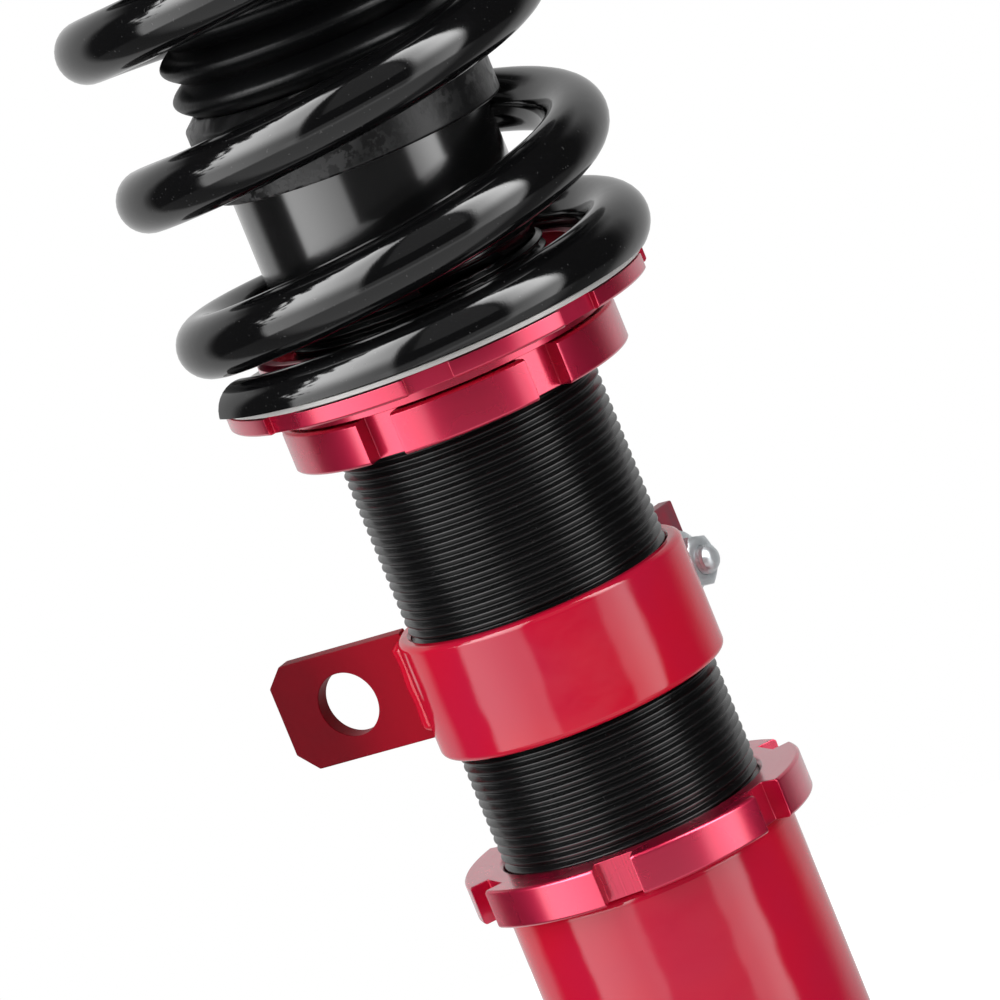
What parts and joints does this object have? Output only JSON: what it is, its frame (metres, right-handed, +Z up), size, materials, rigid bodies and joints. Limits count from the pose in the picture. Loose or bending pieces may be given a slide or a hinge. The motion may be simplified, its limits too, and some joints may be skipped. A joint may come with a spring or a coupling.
{
  "type": "coilover",
  "caption": "Height-adjustable coilover strut: threaded damper with coil spring and dust boot, knuckle bracket, link clamp and pillow-ball camber mount on top.",
  "frame": {"origin": "centre of the lower knuckle bolt's bore, midway between the bracket's two ears", "axes": "+Z up the strut, parallel to its axis, which stands 56 mm towards -X; +X from the strut to the knuckle; +Y along the knuckle bolts"},
  "size_m": [0.1513, 0.148, 0.5936],
  "materials": {
    "tube_red": "gloss red paint",
    "anodised_red": "bright red anodised",
    "body_black": "satin black coated steel",
    "spring_black": "gloss black powder coat",
    "collar_black": "matt mottled black",
    "boot_rubber": "soft black rubber",
    "bump_foam": "matt dense foam",
    "zinc_steel": "bright zinc plated",
    "washer_steel": "bright rolled",
    "rod_chrome": "hard chrome",
    "bare_aluminium": "machined",
    "ptfe_bronze": "matt filled PTFE",
    "black_steel": "satin black"
  },
  "bodies": {
    "bracket": {"lower_tube": "tube_red", "tube_cap": "tube_red", "knuckle_bracket": "tube_red", "gusset_plate": "tube_red"},
    "lower_ring": {"lower_lock_ring": "anodised_red"},
    "damper_body": {"threaded_body": "body_black", "base_plug": "body_black", "rod_guide": "bare_aluminium", "rod_seal": "boot_rubber", "gland_nut": "zinc_steel", "boot_collar": "collar_black", "dust_boot": "boot_rubber"},
    "floating_piston": {"gas_piston": "bare_aluminium", "gas_piston_seal": "boot_rubber"},
    "link_bracket": {"clamp_band": "tube_red", "link_lug": "tube_red", "lug_weld": "tube_red", "clamp_bolt": "zinc_steel", "clamp_nut": "zinc_steel"},
    "perch_carrier": {"slip_washer": "washer_steel", "coil_spring": "spring_black"},
    "perch": {"spring_perch": "anodised_red"},
    "perch_ring": {"perch_lock_ring": "anodised_red"},
    "rod": {"piston_rod": "rod_chrome", "damper_piston": "bare_aluminium", "piston_band": "ptfe_bronze", "shim_stacks": "zinc_steel", "piston_nut": "zinc_steel", "bump_stop": "bump_foam", "upper_spring_seat": "anodised_red", "lower_spacer": "zinc_steel", "pillow_ball": "rod_chrome", "upper_spacer": "zinc_steel", "rod_nut": "zinc_steel"},
    "knob": {"adjuster_knob": "anodised_red"},
    "liner": {"bearing_liner": "ptfe_bronze"},
    "race": {"bearing_race": "zinc_steel"},
    "camber_carrier": {"camber_plate": "anodised_red", "bearing_circlip": "black_steel", "camber_screws": "black_steel"},
    "top": {"top_plate": "black_steel", "tower_stud_set": "zinc_steel"}
  },
  "joints": [
    {"name": "ride_height", "type": "slide", "parent": "bracket", "child": "damper_body", "axis": [0, 0, 1], "range_m": [-0.022, 0.03]},
    {"name": "lower_ring_turn", "type": "hinge", "parent": "bracket", "child": "lower_ring", "pos_m": [-0.056, 0, 0.165], "axis": [0, 0, 1], "range_deg": [0, 90]},
    {"name": "gas_piston_slide", "type": "slide", "parent": "damper_body", "child": "floating_piston", "axis": [0, 0, 1], "range_m": [-0.019, 0]},
    {"name": "link_bracket_swivel", "type": "hinge", "parent": "damper_body", "child": "link_bracket", "pos_m": [-0.056, 0, 0.2063], "axis": [0, 0, 1], "range_deg": [-45, 45]},
    {"name": "perch_travel", "type": "slide", "parent": "damper_body", "child": "perch_carrier", "axis": [0, 0, 1], "range_m": [-0.03, 0]},
    {"name": "perch_turn", "type": "hinge", "parent": "perch_carrier", "child": "perch", "pos_m": [-0.056, 0, 0.27], "axis": [0, 0, 1], "range_deg": [-5400, 0]},
    {"name": "perch_ring_turn", "type": "hinge", "parent": "perch_carrier", "child": "perch_ring", "pos_m": [-0.056, 0, 0.2634], "axis": [0, 0, 1], "range_deg": [-5400, 0]},
    {"name": "damper_stroke", "type": "slide", "parent": "damper_body", "child": "rod", "axis": [0, 0, 1], "range_m": [-0.1, 0], "stiffness_N_per_m": 80000, "springref_m": 0.001, "deforming": ["coil_spring", "dust_boot"]},
    {"name": "adjuster_turn", "type": "hinge", "parent": "rod", "child": "knob", "pos_m": [-0.056, 0, 0.56], "axis": [0, 0, 1], "range_deg": [0, 1080]},
    {"name": "mount_tilt", "type": "hinge", "parent": "rod", "child": "liner", "pos_m": [-0.056, 0, 0.5193], "axis": [0, 1, 0], "range_deg": [-8, 8]},
    {"name": "mount_rock", "type": "hinge", "parent": "liner", "child": "race", "pos_m": [-0.056, 0, 0.5193], "axis": [1, 0, 0], "range_deg": [-8, 8]},
    {"name": "mount_swivel", "type": "hinge", "parent": "race", "child": "camber_carrier", "pos_m": [-0.056, 0, 0.5193], "axis": [0, 0, 1], "range_deg": [-45, 45]},
    {"name": "camber_slide", "type": "slide", "parent": "camber_carrier", "child": "top", "axis": [1, 0, 0], "range_m": [-0.008, 0.008]}
  ],
  "couplings": [
    {"joint": "perch_turn", "follows": "perch_travel", "rad_per_m": 3141.6},
    {"joint": "perch_ring_turn", "follows": "perch_travel", "rad_per_m": 3141.6},
    {"joint": "gas_piston_slide", "follows": "damper_stroke", "ratio": 0.18904}
  ]
}
